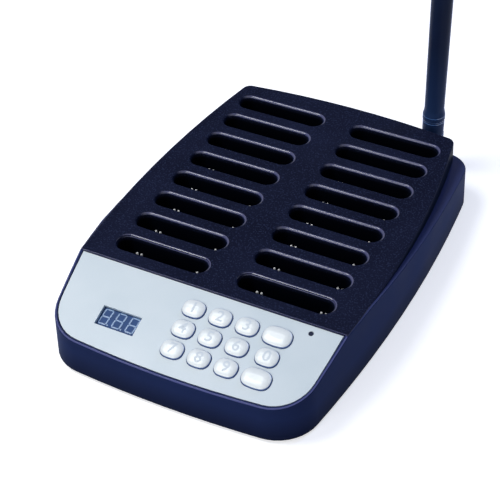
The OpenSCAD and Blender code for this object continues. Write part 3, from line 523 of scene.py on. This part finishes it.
class PAGER_OT_shells(bpy.types.Operator):
    """Makes the case, the slot cover, the base plate and the feet"""
    bl_idname = "pager.shells"
    bl_label = "Make shells"

    def execute(self, context):
        sizes = context.scene.pager_sizes
        case = merged_copy("top_case")
        self.paint_case_light(case, round_edges(case, sizes.lip_edge, self.on_rim, angle=60))
        finish_piece(case, "case_shell", "abs_case", "base", "top_case")
        cover = merged_copy("slot_block")
        self.paint_cover_highlights(cover, round_edges(cover, sizes.cover_edge, self.on_deck, angle=60), sizes.mouth)
        finish_piece(cover, "slot_cover", "abs_cover", "base", "slot_block")
        feet = merged_copy("rubber_feet")
        round_edges(feet, sizes.foot_edge, segments=3)
        finish_piece(feet, "grip_feet", "foot_rubber", "base", "rubber_feet")
        dress("bottom_plate", "abs_case")
        dress("case_screws", "zinc_steel")
        dress("charge_pins", "bright_pin")
        return {"FINISHED"}

    @staticmethod
    def on_rim(edge):
        """Whether an edge of the case belongs to its rim, which is lower in front of the panel line."""
        before_line, behind_line = RIM_Z
        return heights(edge)[0] > (before_line if edge.verts[0].co.y < PANEL_LINE_Y else behind_line)

    @staticmethod
    def on_deck(edge):
        """Whether an edge of the slot cover belongs to its deck."""
        return heights(edge)[0] > PANEL_TOP_Z

    @staticmethod
    def paint_case_light(case, mask):
        """Says how strong the painted highlight, the painted light on the ledge and the coat are on each
        face of the case.
        """
        square_up = PANEL.to_3x3() @ Vector((0, 0, 1))
        for face in case.faces:
            behind_line = face.calc_center_median().y > PANEL_LINE_Y
            if behind_line and face.normal.z > LEVEL:
                # Painted light: the level ledge beside the slot cover is tinted paler and given a little
                # coat
                face[mask] = LEDGE_PAINTED_LIGHT
            elif behind_line or face[mask]:
                # The rim beside the slot cover and the lip's edge beside the panel get only a faint painted
                # highlight
                face[mask] *= CASE_EDGE_HIGHLIGHT
            elif LIP_FACET[0] < face.normal.dot(square_up) < LIP_FACET[1]:
                # Painted highlight where the lip's flat top meets the outer rounding
                face[mask] = LIP_HIGHLIGHT

    @staticmethod
    def paint_cover_highlights(cover, mask, mouth):
        """Says how strong the painted highlight and the coat are on each face of the slot cover."""
        deck_z = max(vert.co.z for vert in cover.verts)
        for face in cover.faces:
            if deck_z - mouth < face.calc_center_median().z < deck_z - SAME:
                # Painted highlight on each slot's mouth, strongest at the back and to the right, on the lip
                # and end whose faces look forward and to the left
                inward = Vector((face.normal.x, face.normal.y, 0)).normalized()
                face[mask] = max(0.0, MOUTH_HIGHLIGHT * inward.dot(HIGHLIGHT_WAY))
            else:
                # The cover's other rounded edges get only a faint painted highlight
                face[mask] *= COVER_EDGE_HIGHLIGHT


class PAGER_OT_panel(bpy.types.Operator):
    """Makes the front panel, the display and the indicator"""
    bl_idname = "pager.panel"
    bl_label = "Make panel"

    def execute(self, context):
        plate = merged_copy("front_panel")
        plate.transform(PANEL.inverted())
        round_edges(plate, context.scene.pager_sizes.panel_edge, self.on_face)
        plate.transform(PANEL)
        finish_piece(plate, "panel_plate", "pearl_panel", "base", "front_panel")
        dress("display_module", "display_face")
        dress("display_segments", "display_bar")
        dress("indicator_lens", "smoked_lens")
        dress("panel_screws", "zinc_steel")
        dress("key_board", "solder_mask")
        dress("keypad_mat", "silicone")
        return {"FINISHED"}

    @staticmethod
    def on_face(edge):
        """Whether an edge of the panel, in the panel's own frame, lies in its face."""
        return heights(edge)[0] > -0.05 * MM


def key_cap(node):
    """The key, in the panel's frame, with its crown made finer."""
    bm = merged_copy(node)
    bm.transform(PANEL.inverted())
    for _ in range(2):
        # What shows, from just under the panel's face up
        crown = [edge for edge in bm.edges if heights(edge)[0] > -0.3 * MM]
        bmesh.ops.subdivide_edges(bm, edges=crown, cuts=1, smooth=1.0, smooth_falloff="LINEAR",
                                  use_grid_fill=True)
    return bm


def middle(bm):
    """The middle of a mesh's sides, as a way to it from the origin."""
    xs, ys = ([vert.co[axis] for vert in bm.verts] for axis in (0, 1))
    return Vector(((min(xs) + max(xs)) / 2, (min(ys) + max(ys)) / 2, 0))


def numeral(number, height, cap, ink):
    """A printed number, flat at first, then laid on the crown of its key."""
    text = bpy.data.curves.new("numeral", "FONT")
    text.body = number
    # The font's numbers are 0.73 of its size high, and the print is a little bolder than the font
    text.size = height * 1.37
    text.offset = height * 0.02
    text.align_x = "CENTER"
    text.align_y = "CENTER"
    text.resolution_u = 3
    sample = bpy.data.objects.new("numeral", text)
    mesh = bpy.data.meshes.new_from_object(sample)
    bm = bmesh.new()
    bm.from_mesh(mesh)
    bpy.data.objects.remove(sample)
    bpy.data.curves.remove(text)
    bpy.data.meshes.remove(mesh)
    bmesh.ops.remove_doubles(bm, verts=bm.verts, dist=SAME)
    # Cut across every half millimetre, so that it follows the crown
    for axis in (Vector((1, 0, 0)), Vector((0, 1, 0))):
        for step in range(-5, 6):
            bmesh.ops.bisect_plane(bm, geom=bm.verts[:] + bm.edges[:] + bm.faces[:],
                                   plane_co=axis * step * 0.5 * MM, plane_no=axis, dist=1e-7)
    bmesh.ops.translate(bm, verts=bm.verts, vec=middle(cap))
    crown = BVHTree.FromBMesh(cap)
    for vert in bm.verts:
        # Looked for from well above the key, straight down
        hit = crown.ray_cast(Vector((vert.co.x, vert.co.y, 10 * MM)), Vector((0, 0, -1)))[0]
        vert.co.z = hit.z + ink
    bmesh.ops.solidify(bm, geom=bm.faces, thickness=2 * ink)
    bmesh.ops.recalc_face_normals(bm, faces=bm.faces)
    bm.transform(PANEL)
    return bm


class PAGER_OT_keys(bpy.types.Operator):
    """Makes the keys and what is printed on them"""
    bl_idname = "pager.keys"
    bl_label = "Make keys"

    def execute(self, context):
        sizes = context.scene.pager_sizes
        for node in NUMBER_KEYS + WIDE_KEYS:
            cap = key_cap(node)
            if node in NUMBER_KEYS:
                mark = numeral(node[-1], sizes.numeral, cap, sizes.ink)
                finish_piece(mark, node + "_number", "ink_grey", node + "_body")
            cap.transform(PANEL)
            finish_piece(cap, node + "_cap", "silver_key", node + "_body", node, angle=50)
        return {"FINISHED"}


class PAGER_OT_inside(bpy.types.Operator):
    """Finishes the boards and what is on them"""
    bl_idname = "pager.inside"
    bl_label = "Finish the inside"

    def execute(self, context):
        for node in ("main_board", "charge_board", "power_board"):
            dress(node, "solder_mask")
        dress("radio_module", "tinned_steel")
        dress("buzzer", "black_nylon")
        dress("board_screws", "zinc_steel")
        dress("dc_inlet", "black_nylon")
        return {"FINISHED"}


class PAGER_OT_aerial(bpy.types.Operator):
    """Makes the aerial"""
    bl_idname = "pager.aerial"
    bl_label = "Make aerial"

    def execute(self, context):
        dress("aerial_socket", "nickel_brass")
        dress("aerial_pin", "zinc_steel")
        finish_piece(merged_copy("aerial_knuckle"), "aerial_fork", "knuckle_nylon", "aerial_swivel",
                     "aerial_knuckle")
        sleeve = merged_copy("aerial_whip")
        # The rounded rings of the collar are marked for a painted highlight
        round_edges(sleeve, context.scene.pager_sizes.ring_edge, self.on_collar, angle=8)
        finish_piece(sleeve, "aerial_sleeve", "whip_rubber", "aerial_mast", "aerial_whip")
        return {"FINISHED"}

    @staticmethod
    def on_collar(edge):
        """Whether an edge of the whip runs round its collar."""
        low, high = heights(edge)
        return high - low < SAME and RINGS_Z[0] < low < RINGS_Z[1]


def softbox(name, at, width, power, colour="#ffffff"):
    """A round lamp of the given width in metres and power in watts, aimed at the origin."""
    light = bpy.data.lights.new(name, "AREA")
    light.shape = "DISK"
    light.size = width
    light.energy = power
    light.color = srgb(colour)[:3]
    lamp = bpy.data.objects.new(name, light)
    lamp.location = at
    lamp.rotation_euler = (-Vector(at)).to_track_quat("-Z", "Y").to_euler()
    bpy.context.scene.collection.objects.link(lamp)


def seen_rays(tree):
    """1 for the camera's own rays and for those that gloss or glass sends on, 0 for light."""
    path = add(tree, "ShaderNodeLightPath")
    direct = add(tree, "ShaderNodeMath", {"operation": "MAXIMUM"}, i0=path.outputs["Is Camera Ray"],
                 i1=path.outputs["Is Glossy Ray"])
    return add(tree, "ShaderNodeMath", {"operation": "MAXIMUM"}, i0=direct.outputs["Value"],
               i1=path.outputs["Is Transmission Ray"]).outputs["Value"]


def sweep_paper():
    """White sweep paper: matt, and pure white to the camera where no shadow falls."""
    material, tree, principled = new_material("paper_white", Roughness=0.9)
    coords = add(tree, "ShaderNodeTexCoord").outputs["Object"]
    _, colour = mottle(tree, coords, 50, "#dedfe2", "#e2e3e6")
    tree.links.new(colour, principled.inputs["Base Color"])
    # Where the lamps hardly reach, from 0.6 to 2 m away, the paper is lifted to white
    away = add(tree, "ShaderNodeVectorMath", {"operation": "LENGTH"}, i0=coords).outputs["Value"]
    level = add(tree, "ShaderNodeMapRange", Value=away, From_Min=0.6, From_Max=2.0, To_Min=0.6, To_Max=1.0)
    lift = add(tree, "ShaderNodeMath", {"operation": "MULTIPLY"}, i0=seen_rays(tree),
               i1=level.outputs["Result"])
    glow = add(tree, "ShaderNodeEmission", Color=srgb("#ffffff"), Strength=lift.outputs["Value"])
    both = add(tree, "ShaderNodeAddShader", i0=principled.outputs["BSDF"], i1=glow.outputs["Emission"])
    # From below the floor isn't there, so that the underside can be looked at
    under = add(tree, "ShaderNodeNewGeometry").outputs["Backfacing"]
    gone = add(tree, "ShaderNodeBsdfTransparent").outputs["BSDF"]
    sheet = add(tree, "ShaderNodeMixShader", Fac=under, i1=both.outputs["Shader"], i2=gone)
    output = next(node for node in tree.nodes if node.type == "OUTPUT_MATERIAL")
    tree.links.new(sheet.outputs["Shader"], output.inputs["Surface"])
    return material


class PAGER_OT_stage(bpy.types.Operator):
    """Makes the camera, the floor and the light"""
    bl_idname = "pager.stage"
    bl_label = "Make stage"

    def execute(self, context):
        scene = context.scene
        stage = scene.pager_stage
        scene.view_settings.view_transform = "Standard"
        self.set_camera(scene, stage)
        self.lay_floor(scene, stage)
        self.set_world(scene, stage)
        softbox("softbox_overhead", (-0.7, -0.28, 1.5), 0.65, stage.overhead_power)
        softbox("softbox_front", (-0.3, -1.6, 0.9), 1.1, stage.front_power)
        softbox("softbox_rear", (0.5, 0.95, 0.85), 0.4, stage.rear_power, "#a8c4ff")
        return {"FINISHED"}

    @staticmethod
    def set_camera(scene, stage):
        """Sets up the camera, whose own axes come from its direction and are then turned by its roll."""
        az, el, roll = stage.azimuth, stage.elevation, stage.roll
        back = Vector((math.sin(az) * math.cos(el), -math.cos(az) * math.cos(el), math.sin(el)))
        right = Vector((math.cos(az), math.sin(az), 0))
        up = back.cross(right)
        turned_right = math.cos(roll) * right + math.sin(roll) * up
        turned_up = math.cos(roll) * up - math.sin(roll) * right
        lens = bpy.data.cameras.new("photo_camera")
        lens.lens = stage.lens
        lens.sensor_width = 36
        lens.clip_start = 0.01
        camera = bpy.data.objects.new("photo_camera", lens)
        camera.matrix_world = Matrix.Translation(stage.camera_at) @ Matrix(
            (turned_right, turned_up, back)).transposed().to_4x4()
        scene.collection.objects.link(camera)
        scene.camera = camera

    @staticmethod
    def lay_floor(scene, stage):
        """A level sheet of paper under the object."""
        bm = bmesh.new()
        bmesh.ops.create_grid(bm, x_segments=2, y_segments=2, size=stage.floor)
        mesh = bpy.data.meshes.new("floor")
        bm.to_mesh(mesh)
        bm.free()
        floor = bpy.data.objects.new("floor", mesh)
        scene.collection.objects.link(floor)
        mesh.materials.append(sweep_paper())

    @staticmethod
    def set_world(scene, stage):
        """Soft light from all round, behind which the camera sees plain white."""
        world = bpy.data.worlds.new("studio")
        scene.world = world
        world.use_nodes = True
        tree = world.node_tree
        tree.nodes.clear()
        soft = add(tree, "ShaderNodeBackground", Color=srgb(stage.ambient_tone), Strength=stage.ambient)
        white = add(tree, "ShaderNodeBackground", Color=srgb("#ffffff"), Strength=1.0)
        mixed = add(tree, "ShaderNodeMixShader", Fac=seen_rays(tree), i1=soft.outputs["Background"],
                    i2=white.outputs["Background"])
        add(tree, "ShaderNodeOutputWorld", Surface=mixed.outputs["Shader"])


class PAGER_PT_sidebar(bpy.types.Panel):
    """Lists the steps"""
    bl_idname = "PAGER_PT_sidebar"
    bl_label = "Pager base"
    bl_space_type = "VIEW_3D"
    bl_region_type = "UI"
    bl_category = "Pager base"

    def draw(self, context):
        for step in STEPS:
            self.layout.operator(step.bl_idname)
        for group in (context.scene.pager_looks, context.scene.pager_sizes, context.scene.pager_stage):
            for name in group.__annotations__:
                self.layout.prop(group, name)


STEPS = (PAGER_OT_finishes, PAGER_OT_shells, PAGER_OT_panel, PAGER_OT_keys, PAGER_OT_inside,
         PAGER_OT_aerial, PAGER_OT_stage)
GROUPS = {"pager_looks": PagerLooks, "pager_sizes": PagerSizes, "pager_stage": StageSettings}


def register():
    for cls in (*GROUPS.values(), *STEPS, PAGER_PT_sidebar):
        bpy.utils.register_class(cls)
    for name, cls in GROUPS.items():
        setattr(bpy.types.Scene, name, PointerProperty(type=cls))


def unregister():
    for name in GROUPS:
        delattr(bpy.types.Scene, name)
    for cls in (PAGER_PT_sidebar, *STEPS, *GROUPS.values()):
        bpy.utils.unregister_class(cls)


def main():
    register()
    for step in STEPS:
        group, name = step.bl_idname.split(".")
        getattr(getattr(bpy.ops, group), name)()


if __name__ == "__main__":
    main()
